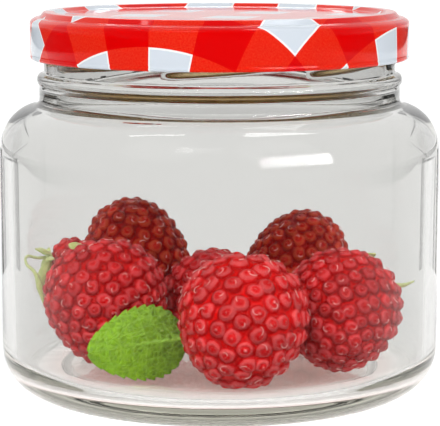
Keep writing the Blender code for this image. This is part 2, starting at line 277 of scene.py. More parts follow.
def goldLacquer():
    # the lid's inside: bright tinplate under a baked gold lacquer, a little uneven
    material, shader = newMaterial("goldLacquer", {"Metallic": 1.0})
    place = addNode(material, "ShaderNodeTexCoord")
    cloud = addNode(material, "ShaderNodeTexNoise", {"Scale": 1 / (6 * mm), "Detail": 3.0},
                    {"Vector": place.outputs["Object"]})
    colour = addNode(material, "ShaderNodeMix", {"data_type": "RGBA", 6: toLinear("c9a868"), 7: toLinear("dcc18a")},
                     {0: cloud.outputs["Fac"]})
    plug(material, colour.outputs[2], shader.inputs["Base Color"])
    dull = addNode(material, "ShaderNodeMapRange", {3: 0.22, 4: 0.34}, {0: cloud.outputs["Fac"]})
    plug(material, dull.outputs[0], shader.inputs["Roughness"])
    return material


# colours of a drupelet: the spot on its top, a painted highlight; its skin; the paler ring round the spot, a painted
# highlight; its foot, darkened as painted shade; and the gap beside it
# these sets differ partly by ripeness and partly as painted shade: the dark set, with its orange painted highlights,
# is for the two berries at the back in the lid's shade
ripenessAndPaintedShade = {
    "bright": ("ee8080", "c80c12", "d24a4c", "9c0002", "d00000"),
    "deep": ("e46c6e", "b8060c", "c83c40", "860002", "bc0000"),
    "dark": ("d0603c", "aa0a02", "b23a20", "6c0000", "9a0200"),
}


def berryFlesh(name, colours):
    # ripe red drupelets: thin smooth skin over juicy flesh, ringed in relief round the foot of each style; the pale
    # spot and pale ring in the colour are painted highlights and the darker foot is painted shade
    material, shader = newMaterial(name, {
        "Roughness": 0.2,
        "IOR": 1.32,
        "Specular Tint": toLinear("ff9088"),
        "Subsurface Weight": 0.15,
        "Subsurface Radius": (1.0, 0.1, 0.07),
        "Subsurface Scale": 0.9 * mm,
    })
    paintedHighlightSpot, top, ring, foot, gap = colours
    # away is 0 on a drupelet's axis and 1 at its edge; a noise bends the rings
    away = addNode(material, "ShaderNodeAttribute", {"attribute_name": "away"})
    tone = addNode(material, "ShaderNodeAttribute", {"attribute_name": "tone"})
    place = addNode(material, "ShaderNodeTexCoord")
    bend = addNode(material, "ShaderNodeTexNoise", {"Scale": 1 / (1.7 * mm), "Detail": 2.0},
                   {"Vector": place.outputs["Object"]})
    scaled = addNode(material, "ShaderNodeMath", {"operation": "MULTIPLY_ADD", 1: 0.8, 2: -0.16},
                     {0: away.outputs["Fac"]})
    bent = addNode(material, "ShaderNodeMath", {"operation": "MULTIPLY_ADD", 1: 0.32},
                   {0: bend.outputs["Fac"], 2: scaled.outputs[0]})
    # painted highlight: the pale spot and ring on each top; painted shade: the darker foot round each drupelet
    colour = addRamp(material, bent.outputs[0], (
        (0.0, paintedHighlightSpot), (0.1, top), (0.24, top), (0.38, ring), (0.5, ring), (0.58, top), (0.67, foot), (0.78, gap)))
    height = addRamp(material, bent.outputs[0], (
        (0.0, "ffffff"), (0.11, "909090"), (0.22, "707070"), (0.38, "f8f8f8"), (0.48, "d0d0d0"), (0.66, "181818"),
        (0.78, "101010")))
    varied = addNode(material, "ShaderNodeHueSaturation", links={"Color": colour.outputs["Color"]})
    light = addNode(material, "ShaderNodeMapRange", {3: 0.78, 4: 1.15}, {0: tone.outputs["Fac"]})
    plug(material, light.outputs[0], varied.inputs["Value"])
    plug(material, varied.outputs["Color"], shader.inputs["Base Color"])
    pores = addNode(material, "ShaderNodeTexNoise", {"Scale": 1 / (0.45 * mm), "Detail": 2.0},
                    {"Vector": place.outputs["Object"]})
    relief = addNode(material, "ShaderNodeMath", {"operation": "MULTIPLY_ADD", 1: 0.35},
                     {0: pores.outputs["Fac"], 2: height.outputs["Color"]})
    skin = addNode(material, "ShaderNodeBump", {"Strength": 1.0, "Distance": 0.4 * mm},
                   {"Height": relief.outputs[0]})
    plug(material, skin.outputs["Normal"], shader.inputs["Normal"])
    return material


def driedStyle():
    # the thread that each drupelet keeps from the flower: dry, pale, thin
    material, shader = newMaterial("driedStyle", {"Roughness": 0.55})
    place = addNode(material, "ShaderNodeTexCoord")
    patch = addNode(material, "ShaderNodeTexNoise", {"Scale": 1 / (2.5 * mm)}, {"Vector": place.outputs["Object"]})
    colour = addNode(material, "ShaderNodeMix", {"data_type": "RGBA", 6: toLinear("e08a84"), 7: toLinear("fad4cc")},
                     {0: patch.outputs["Fac"]})
    plug(material, colour.outputs[2], shader.inputs["Base Color"])
    return material


def mintLeafGreen():
    # fresh mint: soft matt leaf, quilted between pale veins, lit through from behind
    material, shader = newMaterial("mintLeafGreen", {
        "Roughness": 0.5,
        "IOR": 1.35,
        "Subsurface Weight": 0.2,
        "Subsurface Radius": (0.5, 1.0, 0.1),
        "Subsurface Scale": 0.6 * mm,
    })
    vein = addNode(material, "ShaderNodeAttribute", {"attribute_name": "vein"})
    along = addNode(material, "ShaderNodeAttribute", {"attribute_name": "along"})
    place = addNode(material, "ShaderNodeTexCoord")
    cells = addNode(material, "ShaderNodeTexVoronoi", {"Scale": 1 / (1.1 * mm), "feature": "DISTANCE_TO_EDGE"},
                    {"Vector": place.outputs["Object"]})
    mottle = addNode(material, "ShaderNodeTexNoise", {"Scale": 1 / (1.4 * mm), "Detail": 6.0, "Roughness": 0.7},
                     {"Vector": place.outputs["Object"]})
    contrast = addNode(material, "ShaderNodeMapRange", {1: 0.3, 2: 0.7}, {0: mottle.outputs["Fac"]})
    blade = addNode(material, "ShaderNodeMix", {"data_type": "RGBA", 6: toLinear("567000"), 7: toLinear("7cab02")},
                    {0: along.outputs["Fac"]})
    patchy = addNode(material, "ShaderNodeMix",
                     {"data_type": "RGBA", "blend_type": "OVERLAY", 0: 0.45},
                     {6: blade.outputs[2], 7: contrast.outputs[0]})
    fineVeins = addNode(material, "ShaderNodeMapRange", {1: 0.0, 2: 0.09, 3: 0.55, 4: 0.0},
                        {0: cells.outputs["Distance"]})
    netted = addNode(material, "ShaderNodeMix", {"data_type": "RGBA", 7: toLinear("8cb83a")},
                     {0: fineVeins.outputs[0], 6: patchy.outputs[2]})
    colour = addNode(material, "ShaderNodeMix", {"data_type": "RGBA", 7: toLinear("8ab43a")},
                     {0: vein.outputs["Fac"], 6: netted.outputs[2]})
    plug(material, colour.outputs[2], shader.inputs["Base Color"])
    quilt = addNode(material, "ShaderNodeBump", {"Strength": 1.0, "Distance": 0.45 * mm},
                    {"Height": cells.outputs["Distance"]})
    plug(material, quilt.outputs["Normal"], shader.inputs["Normal"])
    return material


def sepalGreen():
    # sepals and stalks: downy, pale yellow-green, mottled by a fine noise
    material, shader = newMaterial("sepalGreen", {
        "Roughness": 0.6,
        "Subsurface Weight": 0.3,
        "Subsurface Radius": (0.6, 1.0, 0.2),
        "Subsurface Scale": 0.7 * mm,
        "Sheen Weight": 0.4,
        "Sheen Roughness": 0.5,
    })
    place = addNode(material, "ShaderNodeTexCoord")
    down = addNode(material, "ShaderNodeTexNoise", {"Scale": 1 / (0.9 * mm), "Detail": 5.0},
                   {"Vector": place.outputs["Object"]})
    colour = addNode(material, "ShaderNodeMix", {"data_type": "RGBA", 6: toLinear("96aa44"), 7: toLinear("d6d894")},
                     {0: down.outputs["Fac"]})
    plug(material, colour.outputs[2], shader.inputs["Base Color"])
    fuzz = addNode(material, "ShaderNodeBump", {"Strength": 0.4, "Distance": 0.1 * mm},
                   {"Height": down.outputs["Fac"]})
    plug(material, fuzz.outputs["Normal"], shader.inputs["Normal"])
    return material


# The glass jar, a turned outline with the thread raised on its mouth

jar = {
    "wall": 2.8,                # mm, as all lengths here
    "floorTop": 5.2,
    "floorCorner": 4.5,
    "standingRingInner": 36.0,
    "puntHeight": 1.8,
    "heel": (7.8, 9.3),         # width, height of the round between wall and base
    "shoulderStart": 53.6,
    "shoulder": (8.6, 10.2),
    "neckRadius": 40.65,
    "neckBore": 37.2,
    "neckFillet": 1.6,
    "bead": (41.1, 68.2, 70.9), # radius, bottom, top
    "finishRadius": 39.5,
    "finishRings": 44,
    "steps": 240,
}

thread = {
    "count": 8,
    "first": -16.0,     # degrees from the front, where a ridge begins
    "sweep": 34.0,
    "low": 73.9,        # mm, the height at which it begins
    "rise": 0.054,      # mm a degree
    "depth": 0.9,
    "halfWidth": 0.85,
}


def jarOutline(bodyRadius, mouthTop):
    # up the inside from the floor's centre, over the mouth and down the outside
    bore = bodyRadius - jar["wall"]
    corner = jar["floorCorner"]
    start = jar["shoulderStart"]
    neck, neckBore, fillet = jar["neckRadius"], jar["neckBore"], jar["neckFillet"]
    width, height = jar["shoulder"]
    beadRadius, beadBottom, beadTop = jar["bead"]
    finish = jar["finishRadius"]
    heelWidth, heelHeight = jar["heel"]
    outline = [(0, jar["floorTop"])]
    outline += [((bore - corner) * share, jar["floorTop"]) for share in (0.35, 0.7)]
    outline += arcPoints((bore - corner, jar["floorTop"] + corner), corner, corner, -90, 0, 14)
    outline += arcPoints((neckBore, start - 0.8), bore - neckBore, height + 0.4, 0, 84, 20)
    outline += [(neckBore, start + height + 1.6), (neckBore, mouthTop - 0.6)]
    outline += arcPoints((neckBore + 0.6, mouthTop - 0.6), 0.6, 0.6, 180, 90, 4)[1:]
    outline += arcPoints((finish - 0.8, mouthTop - 0.8), 0.8, 0.8, 90, 0, 5)
    low, high = beadTop + 0.4, mouthTop - 1.0
    for ring in range(jar["finishRings"] + 1):
        outline.append((finish, high + (low - high) * ring / jar["finishRings"]))
    middle = (beadTop + beadBottom) / 2
    outline += arcPoints((finish + 0.5, beadTop + 0.5), 0.5, 0.5, 180, 260, 4)
    outline += arcPoints((beadRadius - 0.8, middle), 0.8, (beadTop - beadBottom) / 2 - 0.1, 80, -62, 12)
    shoulderTop = start + height
    outline.append((neck, beadBottom - 0.9))
    outline += arcPoints((neck + fillet, shoulderTop + fillet), fillet, fillet, 180, 250, 7)
    outline += arcPoints((bodyRadius - width, start), width, height, 79, 0, 22)
    outline += arcPoints((bodyRadius - heelWidth, heelHeight), heelWidth, heelHeight, 0, -86, 18)
    ring = jar["standingRingInner"]
    outline += [(bodyRadius - heelWidth, 0), (ring + 0.6, 0)]
    outline += arcPoints((ring + 0.6, 0.6), 0.6, 0.6, -110, -160, 3)
    outline += [(ring - 2, jar["puntHeight"] * 0.7), (ring - 8, jar["puntHeight"] * 0.95)]
    outline += [(0, jar["puntHeight"])]
    return outline


def threadPush(turn, height):
    # how far the mouth stands out at a turn from the front, in degrees, and a height, in mm
    push = 0.0
    for number in range(thread["count"]):
        begun = (turn - thread["first"] - 360 * number / thread["count"]) % 360
        if begun > thread["sweep"]:
            continue
        ends = math.sin(math.pi * begun / thread["sweep"]) ** 0.45
        across = (height - thread["low"] - thread["rise"] * begun) / thread["halfWidth"]
        push = max(push, thread["depth"] * ends * math.exp(-abs(across) ** 2.6))
    return push


def makeJar(glass, stippled):
    low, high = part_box("glass_jar")
    piece = spinOutline("jarGlass", jarOutline(high.x / mm, high.z / mm), jar["steps"])
    points = meshPoints(piece)
    finish = jar["finishRadius"]
    for point in points:
        radius, height = math.hypot(point[0], point[1]) / mm, point[2] / mm
        if abs(radius - finish) < 0.02 and jar["bead"][2] < height < high.z / mm - 0.9:
            turn = math.degrees(math.atan2(point[0], -point[1]))
            point[:2] *= 1 + threadPush(turn, height) / finish
    setMeshPoints(piece, points)
    piece.data.materials.append(glass)
    piece.data.materials.append(stippled)
    for face in piece.data.polygons:
        if face.normal.z < -0.8 and face.center.z < 1.2 * mm:
            face.material_index = 1
    piece.visible_shadow = False    # clear glass lets the lamps through
    mountPiece(piece, "jar_glass", "glass_jar")
    print("jar:", len(piece.data.polygons), "faces")
    return piece


# The lid, one turned sheet with a curl, printed outside and gold inside

lid = {
    "panelRadius": 36.2,    # mm, as all lengths here
    "panelDrop": 0.9,       # the panel below the ring's crest
    "ring": (37.6, 39.2),   # crest, from and to
    "ledge": (40.4, 41.4),
    "ledgeDrop": 1.3,
    "corner": 1.0,
    "curl": 0.6,
    "sheet": 0.5,
    "steps": 256,
}


def lidOutlines(radius, top, bottom):
    # the outside from the centre to the curl, and the inside back to the centre
    panel = top - lid["panelDrop"]
    crestIn, crestOut = lid["ring"]
    ledgeIn, ledgeOut = lid["ledge"]
    ledge = top - lid["ledgeDrop"]
    curl, sheet = lid["curl"], lid["sheet"]
    outside = roundCorners([
        (0, panel, 0),
        (lid["panelRadius"] * 0.6, panel, 0),
        (lid["panelRadius"], panel, 1.4),
        (crestIn - 0.3, top, 0.55),
        (crestOut + 0.2, top, 0.6),
        (ledgeIn, ledge + 0.12, 0.5),
        (ledgeOut, ledge, 0.8),
        (radius, ledge - 0.7, lid["corner"]),
        (radius, bottom + 2.2 * curl, 0),
    ], 7)
    inner = radius - sheet
    curlRound = arcPoints((radius - curl, bottom + curl), curl, curl, 35, -215, 16)
    inside = roundCorners([
        (inner - 0.25, bottom + 2.6 * curl, 0),
        (inner, bottom + 4 * curl, 0.8),
        (inner, ledge - sheet - 0.7, lid["corner"] * 0.5),
        (ledgeOut, ledge - sheet, 0.4),
        (ledgeIn - 0.2, ledge - sheet + 0.12, 0.4),
        (crestOut, top - sheet, 0.4),
        (crestIn, top - sheet, 0.4),
        (lid["panelRadius"] + 0.3, panel - sheet, 0.6),
        (0, panel - sheet, 0),
    ], 3)
    return outside, curlRound, inside


def makeLid(printed, gold):
    low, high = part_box("lid")
    outside, curlRound, inside = lidOutlines(high.x / mm, high.z / mm, low.z / mm)
    piece = spinOutline("lidTinplate", outside + curlRound + inside, lid["steps"])
    # the print is flat on the sheet, so a point is found by its way from the centre along the sheet
    way = [0.0]
    for (r0, z0), (r1, z1) in zip(outside, outside[1:]):
        way.append(way[-1] + math.hypot(r1 - r0, z1 - z0))
    heights = [z for _, z in outside]
    skirtStart = next(i for i, (r, z) in enumerate(outside) if r > high.x / mm - 0.02)
    data = piece.data
    data.uv_layers.new(name="sheet")
    sheetUv = data.uv_layers["sheet"].data
    for loop in data.loops:
        x, y, z = data.vertices[loop.vertex_index].co / mm
        radius = math.hypot(x, y)
        if z < heights[skirtStart]:
            flat = way[skirtStart] + heights[skirtStart] - z
        else:
            flat = np.interp(radius, [r for r, _ in outside[:skirtStart + 1]], way[:skirtStart + 1])
        share = flat / radius / 100 if radius > 1e-6 else 0.0
        sheetUv[loop.index].uv = (x * share, y * share)
    data.materials.append(printed)
    data.materials.append(gold)
    for face in data.polygons:
        outward = Vector((face.center.x, face.center.y, 0)).normalized()
        turnedIn = face.normal.dot(outward) < -0.3 and face.normal.z < 0.2
        under = face.normal.z < -0.5 and face.center.z > low.z + 3 * mm
        if turnedIn or under:
            face.material_index = 1
    selectOnly(piece)
    bpy.ops.object.shade_smooth_by_angle(angle=math.radians(50))
    mountPiece(piece, "lid_tinplate", "lid")
    print("lid:", len(data.polygons), "faces")
    return piece


# The berries: one modelled drupelet copied over a core, then fused to one skin

berryForm = {
    "voxel": 0.26,       # mm, the grain of the fused skin
    "coreSink": 1.3,     # mm, the gaps below the drupelets' tops
    "ball": 0.55,        # a drupelet's radius to its pitch
    "jitter": 0.1,       # of the pitch
    "styleRadius": 0.09,
    "styled": 0.7,       # share of the drupelets that keep their style
}

# tip: the way the berry points; radius, length and pitch in mm; taper: how much slimmer the tip is
berries = {
    "berry_front": {
        "tip": (-0.1, -0.75, -0.6), "radius": 14.3, "length": 30.2, "taper": 0.14, "pitch": 4.5, "seed": 1,
        "ripeAndShade": "bright",
    },
    "berry_left": {
        "tip": (0.2, -0.6, -0.75), "radius": 14.2, "length": 29.5, "taper": 0.16, "pitch": 4.0, "seed": 2,
        "ripeAndShade": "deep",
    },
    "berry_right": {
        "tip": (-0.2, -0.75, -0.62), "radius": 13.5, "length": 28.4, "taper": 0.14, "pitch": 3.8, "seed": 3,
        "ripeAndShade": "deep",
    },
    "berry_back_left": {
        "tip": (-0.28, -0.05, 1.0), "radius": 13.5, "length": 33.0, "taper": 0.06, "pitch": 4.0, "seed": 4,
        "ripeAndShade": "dark",
    },
    "berry_back_right": {
        "tip": (0.35, 0.05, 0.9), "radius": 13.2, "length": 31.8, "taper": 0.08, "pitch": 3.8, "seed": 5,
        "ripeAndShade": "dark",
    },
    "berry_back_middle": {
        "tip": (0.3, -0.5, 0.6), "radius": 12.0, "length": 24.8, "taper": 0.15, "pitch": 3.9, "seed": 6,
        "ripeAndShade": "deep",
    },
    "berry_far_left": {
        "tip": (0.85, 0.5, -0.15), "radius": 6.1, "length": 13.5, "taper": 0.12, "pitch": 3.0, "seed": 7,
        "ripeAndShade": "bright",
    },
}


def berrySurface(direction, form):
    # the point of a berry's skin, in mm, in a unit direction from its centre, its tip at +Z
    lift = direction.z
    girth = math.sqrt(max(0.0, 1 - lift * lift))
    taper = form["taper"]
    width = form["radius"] * girth**0.88 * (1 - taper * lift) / (1 + 0.5 * taper * taper)
    height = form["length"] / 2 * lift
    if lift < 0:
        height += 0.12 * form["length"] * math.exp(-((width / (0.42 * form["radius"])) ** 2))
    flat = Vector((direction.x, direction.y, 0))
    if flat.length > 1e-6:
        flat.normalize()
    return flat * width + Vector((0, 0, height))


def outwardOf(point, form):
    # roughly square to the skin at a point of it
    ends = (form["length"] / 2) ** 2
    sides = form["radius"] ** 2
    return Vector((point.x / sides, point.y / sides, point.z / ends)).normalized()


def modelDrupelet():
    # one drupelet of radius 1: a ball, slightly drawn up, its top raised a little more where its style stands
    bpy.ops.object.select_all(action="DESELECT")
    bpy.ops.mesh.primitive_ico_sphere_add(subdivisions=4, radius=1, location=(0, 0, 0))
    drupelet = bpy.context.object
    bpy.ops.object.mode_set(mode="EDIT")
    bpy.ops.mesh.select_all(action="SELECT")
    bpy.ops.transform.resize(value=(1, 1, 1.08))
    bpy.ops.mesh.select_all(action="DESELECT")
    bpy.ops.object.mode_set(mode="OBJECT")
    for vertex in drupelet.data.vertices:
        vertex.select = vertex.co.z > 1.02
    bpy.ops.object.mode_set(mode="EDIT")
    bpy.ops.transform.translate(value=(0, 0, 0.05))
    bpy.ops.object.mode_set(mode="OBJECT")
    return drupelet


def drupeletSites(form, draw):
    # (top, outward way, radius) of each drupelet, in mm, on a loose spiral over the skin
    area = 4 * math.pi * form["radius"] * (form["radius"] + form["length"] / 2) / 2
    count = round(area / (0.866 * form["pitch"] ** 2))
    golden = math.pi * (3 - math.sqrt(5))
    sites = []
    for i in range(count):
        lift = 1 - 2 * (i + 0.5) / count
        girth = math.sqrt(1 - lift * lift)
        turn = i * golden
        way = Vector((girth * math.cos(turn), girth * math.sin(turn), lift))
        reach = berryForm["jitter"] * form["pitch"] / form["radius"]
        way += Vector([draw.uniform(-reach, reach) for _ in range(3)])
        way.normalize()
        top = berrySurface(way, form)
        size = berryForm["ball"] * form["pitch"] * draw.uniform(0.88, 1.14)
        sites.append((top, outwardOf(top, form), size))
    return sites


def copyAt(model, matrix):
    # a copy with its own mesh, in place
    twin = model.copy()
    twin.data = model.data.copy()
    twin.matrix_world = matrix
    bpy.context.scene.collection.objects.link(twin)
    return twin


def fuseBerry(name, form, drupelet, sites):
    # the core and a copy of the drupelet at each site, made one closed skin
    bpy.ops.object.select_all(action="DESELECT")
    bpy.ops.mesh.primitive_ico_sphere_add(subdivisions=5, radius=1, location=(0, 0, 0))
    core = bpy.context.object
    core.name = name
    for vertex in core.data.vertices:
        point = berrySurface(vertex.co.normalized(), form)
        vertex.co = (point - outwardOf(point, form) * berryForm["coreSink"]) * mm
    bpy.ops.object.select_all(action="DESELECT")
    for top, outward, size in sites:
        turned = outward.to_track_quat("Z", "Y").to_matrix().to_4x4()
        centre = (top - outward * size * 1.08) * mm
        twin = copyAt(drupelet, Matrix.Translation(centre) @ turned @ Matrix.Scale(size * mm, 4))
        twin.select_set(True)
    core.select_set(True)
    bpy.context.view_layer.objects.active = core
    bpy.ops.object.join()
    useModifier(core, "REMESH", {"mode": "VOXEL", "voxel_size": berryForm["voxel"] * mm})
    useModifier(core, "SMOOTH", {"factor": 0.5, "iterations": 2})
    core.data.shade_smooth()
    return core


def fitToNode(points, node, stretch=True):
    # the scale along each axis and the shift that bring points to the middle, and if asked the size, of a node's box
    low, high = (np.array(corner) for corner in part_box(node))
    size = points.max(0) - points.min(0)
    scale = (high - low) / size if stretch else np.ones(3)
    shift = (low + high) / 2 - scale * (points.max(0) + points.min(0)) / 2
    if stretch:
        print(node, "stretched by", np.round(scale / mm, 3) * mm)
    return scale, shift


def drawStyles(name, sites, place, form, draw, material):
    # thin curled threads that stand on the drupelets' tops
    curve = bpy.data.curves.new(name, "CURVE")
    curve.dimensions = "3D"
    curve.bevel_depth = berryForm["styleRadius"] * mm
    curve.bevel_resolution = 1
    curve.use_fill_caps = True
    for top, outward, size in sites:
        if draw.random() > berryForm["styled"]:
            continue
        side = outward.orthogonal().normalized()
        side.rotate(Matrix.Rotation(draw.uniform(0, 2 * math.pi), 3, outward))
        across = outward.cross(side)
        reach, bend = draw.uniform(0.5, 1.0) * size, draw.choice((-1, 1)) * draw.uniform(1.8, 4.2)
        spline = curve.splines.new("POLY")
        spline.points.add(6)
        point = top - outward * 0.15
        for i, knot in enumerate(spline.points):
            knot.co = (*place(point), 1)
            knot.radius = 1.0 - 0.1 * i
            share = (i + 1) / 6
            way = side * math.cos(bend * share) + across * math.sin(bend * share)
            climb = 0.42 * (1 - 1.9 * share)
            point = point + (way + outward * climb) * reach / 5
    threads = bpy.data.objects.new(name, curve)
    bpy.context.scene.collection.objects.link(threads)
    selectOnly(threads)
    bpy.ops.object.convert(target="MESH")
    tidyMesh(threads)
    threads.data.shade_smooth()
    threads.data.materials.append(material)
    mountPiece(threads, "raspberry")
    return threads


def makeBerry(node, form, drupelet, flesh, style):
    draw = random.Random(form["seed"])
    sites = drupeletSites(form, draw)
    piece = fuseBerry(node.replace("berry", "flesh"), form, drupelet, sites)
    turned = np.array(Vector(form["tip"]).to_track_quat("Z", "Y").to_matrix())
    points = meshPoints(piece) @ turned.T
    scale, shift = fitToNode(points, node)
    setMeshPoints(piece, points * scale + shift)

    def place(point):
        return (turned @ np.array(point) * mm) * scale + shift

    # away is 0 on a drupelet's axis and 1 at its edge; tone differs from drupelet to drupelet
    tree = kdtree.KDTree(len(sites))
    for i, (top, outward, size) in enumerate(sites):
        tree.insert(Vector(place(top - outward * size)), i)
    tree.balance()
    axes = [Vector(turned @ np.array(outward)) for _, outward, _ in sites]
    tones = [draw.random() for _ in sites]
    away, tone = [], []
    for vertex in piece.data.vertices:
        centre, nearest, _ = tree.find(vertex.co)
        spoke = vertex.co - centre
        across = spoke - axes[nearest] * spoke.dot(axes[nearest])
        away.append(across.length / (sites[nearest][2] * mm * scale.mean()))
        tone.append(tones[nearest])
    addAttribute(piece, "away", away)
    addAttribute(piece, "tone", tone)
    piece.data.materials.clear()
    piece.data.materials.append(flesh)
    mountPiece(piece, "raspberry", node)
    drawStyles(node.replace("berry", "styles"), sites, place, form, draw, style)
    print(node, "with", len(sites), "drupelets,", len(piece.data.polygons), "faces")


# The mint leaf, a fine grid shaped to the blade

leaf = {
    "length": 20.8,         # mm
    "halfWidth": 8.4,
    "thickness": 0.42,
    "teeth": 10,
    "toothDepth": 0.1,
    "turn": (98, 6, 193),   # degrees, from lying flat with its stalk at the origin
    "sideVeins": (0.08, 0.22, 0.37, 0.52, 0.66, 0.79),
    "quilt": 0.18,          # mm, how far the blade swells between the veins
}


def leafHalfWidth(along):
    egg = math.sin(math.pi * along**0.8) ** 0.5 if 0 < along < 1 else 0.0
    tooth = (along * leaf["teeth"]) % 1
    return leaf["halfWidth"] * max(egg, 0.05) * (1 - leaf["toothDepth"] * tooth**1.4)


def veinAt(along, across):
    # 1 on a vein, 0 on the blade; the side veins lean and bend towards the tip
    reach = abs(across)
    midrib = math.exp(-((across * leafHalfWidth(along) / 0.3) ** 2)) * (1.1 - along)
    strongest = midrib
    for start in leaf["sideVeins"]:
        line = start + 0.3 * reach * (1 - start) - 0.07 * reach * reach
        away = (along - line) * leaf["length"]
        strongest = max(strongest, 0.6 * (1 - 0.6 * reach) * math.exp(-((away / 0.16) ** 2)))
    return min(1.0, strongest)


def makeLeaf(green):
    bpy.ops.object.select_all(action="DESELECT")
    bpy.ops.mesh.primitive_grid_add(x_subdivisions=150, y_subdivisions=84, size=2, location=(0, 0, 0))
    piece = bpy.context.object
    piece.name = "mintLeafBlade"
    veins, lengths = [], []
    for vertex in piece.data.vertices:
        along, across = (vertex.co.x + 1) / 2, vertex.co.y
        y = across * leafHalfWidth(along)
        x = leaf["length"] * (along - 0.06 * abs(across) * math.sin(math.pi * along))
        arch = -5.5 * (along - 0.5) ** 2
        cup = 1.3 * across * across
        wave = 0.35 * math.sin(9 * along + 2 * across) * abs(across)
        vein = veinAt(along, across)
        swell = leaf["quilt"] * (1 - vein) * (1 - abs(across) ** 4)
        vertex.co = (x * mm, y * mm, (arch + cup + wave + swell) * mm)
        veins.append(vein)
        lengths.append(min(1.0, max(0.0, 1.35 * along - 0.12 + 0.1 * across)))
    addAttribute(piece, "vein", veins)
    addAttribute(piece, "along", lengths)
    useModifier(piece, "SOLIDIFY", {"thickness": leaf["thickness"] * mm, "offset": 0})
    tidyMesh(piece)
    turned = np.array(Matrix.Rotation(math.radians(leaf["turn"][2]), 3, "Z")
                      @ Matrix.Rotation(math.radians(leaf["turn"][1]), 3, "Y")
                      @ Matrix.Rotation(math.radians(leaf["turn"][0]), 3, "X"))
    points = meshPoints(piece) @ turned.T
    scale, shift = fitToNode(points, "mint_leaf", stretch=False)
    setMeshPoints(piece, points + shift)
    piece.data.shade_smooth()
    piece.data.materials.append(green)
    mountPiece(piece, "mint", "mint_leaf")
    print("leaf:", len(piece.data.polygons), "faces")


# Calyxes: one sepal modelled, copied round a small cup

# centre and the tips in mm, the way the cup faces, spin in degrees; each sepal has its tip and half width
calyxes = {
    "calyx_far_left": {
        "centre": (-39.4, 6.4, 27.1), "facing": (-0.85, -0.5, 0.15), "spin": -5,
        "sepals": (
            ((-40.9, 11.0, 28.3), 1.3), ((-43.2, 3.6, 29.7), 1.6), ((-38.9, 2.0, 27.3), 1.3),
            ((-42.2, 2.8, 21.4), 1.9), ((-42.3, 7.6, 25.2), 1.2),
        ),
    },
    "calyx_right": {
        "centre": (30.0, -2.6, 27.9), "facing": (0.2, 0.755, 0.624), "spin": -26,
        "sepals": (
            ((35.6, -3.2, 29.8), 1.1), ((29.9, -4.5, 30.2), 1.1), ((27.0, -2.7, 29.0), 1.1),
            ((28.3, -0.4, 26.3), 1.1), ((32.0, -1.0, 25.9), 1.1),
        ),
    },
}

cupRadius = 1.5     # mm
sepalSheet = 0.4    # mm

# one that shows alone: foot, tip and half width in mm, and the side to which it bulges
singleSepals = {
    "sepal_left": ((-30.6, 1.2, 30.2), (-34.6, -0.2, 31.6), 1.1, (0.2, -0.85, 0.5)),
}


def modelSepal():
    # a blade of length 1 along +X and of half width 1, drawn to a point and ridged down the middle
    bpy.ops.object.select_all(action="DESELECT")
    bpy.ops.mesh.primitive_grid_add(x_subdivisions=28, y_subdivisions=10, size=2, location=(0, 0, 0))
    sepal = bpy.context.object
    for vertex in sepal.data.vertices:
        along, across = (vertex.co.x + 1) / 2, vertex.co.y
        width = (1 - along) ** 0.55 * (0.5 + 1.75 * along)
        ridge = 0.16 * (1 - abs(across)) ** 2 * (1 - along)
        frill = 0.1 * across * math.sin(9 * along)
        vertex.co = (along, across * width, ridge + frill - 0.3 * across * across * width)
    return sepal


def placeSepal(sepal, foot, tip, halfWidth, outward):
    # a copy of the blade from its foot to its tip, bulging outward on the way
    twin = copyAt(sepal, Matrix.Identity(4))
    way = tip - foot
    across = outward.cross(way).normalized()
    knee = foot.lerp(tip, 0.5) + way.cross(across).normalized() * 0.2 * way.length
    for vertex in twin.data.vertices:
        x, y, z = vertex.co
        start, end = foot.lerp(knee, x), knee.lerp(tip, x)
        up = (end - start).cross(across).normalized()
        vertex.co = (start.lerp(end, x) + (across * y + up * z) * halfWidth) * mm
    useModifier(twin, "SOLIDIFY", {"thickness": sepalSheet * mm, "offset": 0})
    return twin


def finishSepals(piece, node, green):
    # rounds the sheet's edges, fits the piece to its node and mounts it
    useModifier(piece, "REMESH", {"mode": "VOXEL", "voxel_size": 0.15 * mm})
    useModifier(piece, "SMOOTH", {"factor": 0.5, "iterations": 2})
    points = meshPoints(piece)
    scale, shift = fitToNode(points, node)
    setMeshPoints(piece, points * scale + shift)
    piece.data.shade_smooth()
    piece.data.materials.clear()
    piece.data.materials.append(green)
    mountPiece(piece, "sepal", node)
    print(node, len(piece.data.polygons), "faces")


def makeCalyx(node, form, sepal, green):
    outward = Vector(form["facing"]).normalized()
    upward = (Vector((0, 0, 1)) - outward * outward.z).normalized()
    sideways = outward.cross(upward)
    centre = Vector(form["centre"])
    twins = []
    for i, (tip, halfWidth) in enumerate(form["sepals"]):
        turn = math.radians(form["spin"] + 36 + 72 * i)
        spoke = sideways * math.cos(turn) + upward * math.sin(turn)
        foot = centre + spoke * cupRadius * 0.6
        twins.append(placeSepal(sepal, foot, Vector(tip), halfWidth, (spoke + outward * 0.6).normalized()))
    bpy.ops.object.select_all(action="DESELECT")
    bpy.ops.mesh.primitive_uv_sphere_add(segments=20, ring_count=10, radius=cupRadius * mm, location=(0, 0, 0))
    cup = bpy.context.object
    cup.name = node.replace("calyx", "sepals")
    cup.data.transform(Matrix.Translation(centre * mm) @ outward.to_track_quat("Z", "Y").to_matrix().to_4x4()
                       @ Matrix.Diagonal((1, 1, 0.35, 1)))
    for twin in twins:
        twin.select_set(True)
    bpy.ops.object.join()
    finishSepals(cup, node, green)


def makeSingleSepal(node, form, sepal, green):
    foot, tip, halfWidth, outward = form
    blade = placeSepal(sepal, Vector(foot), Vector(tip), halfWidth, Vector(outward).normalized())
    blade.name = node.replace("sepal", "loneSepal")
    finishSepals(blade, node, green)


